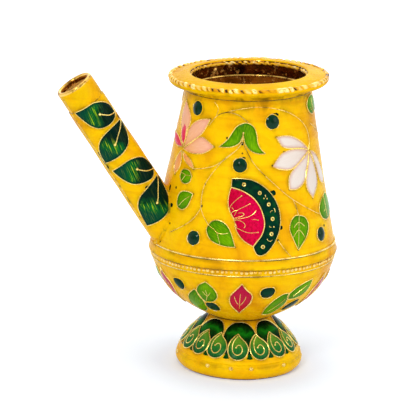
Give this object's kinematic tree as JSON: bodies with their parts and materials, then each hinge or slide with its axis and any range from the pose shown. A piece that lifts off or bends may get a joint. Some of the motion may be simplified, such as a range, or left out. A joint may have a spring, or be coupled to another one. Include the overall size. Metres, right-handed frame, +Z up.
{
  "type": "spouted water pot",
  "caption": "Enamelled brass pouring pot: tapering turned body over a bowl, beaded waist and rim, hollow flared foot and a straight tube spout.",
  "frame": {"origin": "on the ground under the middle of the whole pot, spout included; the turned body's axis stands at x = 24.3 mm", "axes": "+Z up; the spout leans towards -X; the middle of the ornamented front faces mostly -Y"},
  "size_m": [0.1432, 0.0954, 0.1502],
  "materials": {
    "yellow_enamel": "glossy vitreous enamel over brass",
    "foot_enamel": "glossy vitreous enamel over brass",
    "gilt_brass": "polished, gilt",
    "leaf_green_enamel": "glossy translucent enamel in a wire cell",
    "dark_green_enamel": "glossy translucent enamel in a wire cell",
    "pink_enamel": "glossy translucent enamel in a wire cell",
    "ruby_enamel": "glossy translucent enamel in a wire cell",
    "peach_enamel": "glossy opaque enamel in a wire cell",
    "white_enamel": "glossy opaque enamel in a wire cell"
  },
  "bodies": {
    "root": {"foot_ring": "yellow_enamel", "foot_shell": "foot_enamel", "bowl": "yellow_enamel", "upper_body": "yellow_enamel", "waist_band": "yellow_enamel", "waist_lower_wire": "gilt_brass", "waist_bead_wire": "gilt_brass", "waist_upper_wire": "gilt_brass", "rim_flange": "yellow_enamel", "rim_bead_wire": "gilt_brass", "spout_tube": "yellow_enamel", "spout_lip": "gilt_brass", "spout_seam": "yellow_enamel", "lotus_pink_front": "peach_enamel", "lotus_pink_back": "peach_enamel", "lotus_white_front": "white_enamel", "lotus_white_back": "white_enamel", "twin_leaf_front": "leaf_green_enamel", "twin_leaf_back": "leaf_green_enamel", "fan_rind_front": "dark_green_enamel", "fan_rind_back": "dark_green_enamel", "fan_heart_front": "pink_enamel", "fan_heart_back": "pink_enamel", "leaf_low_left_front": "leaf_green_enamel", "leaf_low_left_back": "leaf_green_enamel", "leaf_low_right_front": "leaf_green_enamel", "leaf_low_right_back": "leaf_green_enamel", "leaf_side_front": "leaf_green_enamel", "leaf_side_back": "leaf_green_enamel", "leaf_round_front": "leaf_green_enamel", "leaf_round_back": "leaf_green_enamel", "leaf_neck_front": "leaf_green_enamel", "leaf_neck_back": "leaf_green_enamel", "leaf_edge_front": "leaf_green_enamel", "leaf_edge_back": "leaf_green_enamel", "stone_1_front": "dark_green_enamel", "stone_1_back": "dark_green_enamel", "stone_2_front": "dark_green_enamel", "stone_2_back": "dark_green_enamel", "stone_3_front": "dark_green_enamel", "stone_3_back": "dark_green_enamel", "stone_4_front": "dark_green_enamel", "stone_4_back": "dark_green_enamel", "stone_5_front": "dark_green_enamel", "stone_5_back": "dark_green_enamel", "ruby_leaf_1": "ruby_enamel", "ruby_leaf_2": "ruby_enamel", "ruby_leaf_3": "ruby_enamel", "ruby_leaf_4": "ruby_enamel", "ruby_leaf_5": "ruby_enamel", "ruby_leaf_6": "ruby_enamel", "spout_leaf_front_1": "dark_green_enamel", "spout_leaf_front_2": "dark_green_enamel", "spout_leaf_front_3": "dark_green_enamel", "spout_leaf_front_4": "dark_green_enamel", "spout_leaf_back_1": "dark_green_enamel", "spout_leaf_back_2": "dark_green_enamel", "spout_leaf_back_3": "dark_green_enamel", "spout_leaf_back_4": "dark_green_enamel"}
  },
  "joints": []
}
